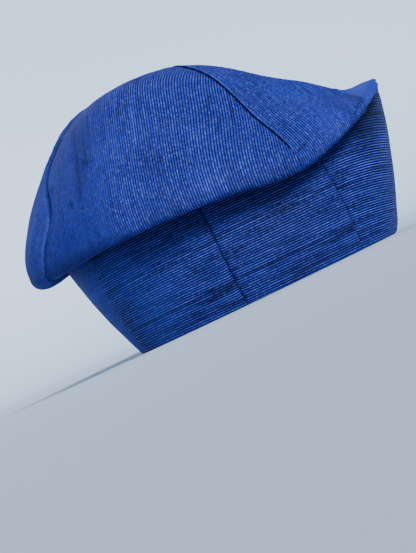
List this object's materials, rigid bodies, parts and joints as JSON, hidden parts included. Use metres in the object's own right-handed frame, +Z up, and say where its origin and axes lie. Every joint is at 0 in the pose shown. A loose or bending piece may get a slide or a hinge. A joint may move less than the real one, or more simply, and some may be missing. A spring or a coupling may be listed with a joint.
{
  "type": "fila cap",
  "caption": "Soft ribbed cloth cap with a tall flared band and a wide gored crown that folds down over the band on the wearer's right and at the back.",
  "frame": {"origin": "centre of the bounding box in plan, on the plane of the rim", "axes": "+X towards the wearer's front, +Z up, -Y towards the wearer's right, where the crown folds over the band; azimuth 0 is the side that the picture shows"},
  "size_m": [0.2856, 0.2424, 0.1807],
  "materials": {
    "crown_cloth": "matt ribbed woven cotton, royal blue",
    "band_cloth": "matt ribbed woven cotton, royal blue"
  },
  "bodies": {
    "root": {"crown_gore_right": "crown_cloth", "crown_gore_back": "crown_cloth", "crown_gore_left": "crown_cloth", "crown_gore_front": "crown_cloth", "band_side_right": "band_cloth", "band_back_right": "band_cloth", "band_back_left": "band_cloth", "band_side_left": "band_cloth", "band_front_left": "band_cloth", "band_front_right": "band_cloth"}
  },
  "joints": []
}
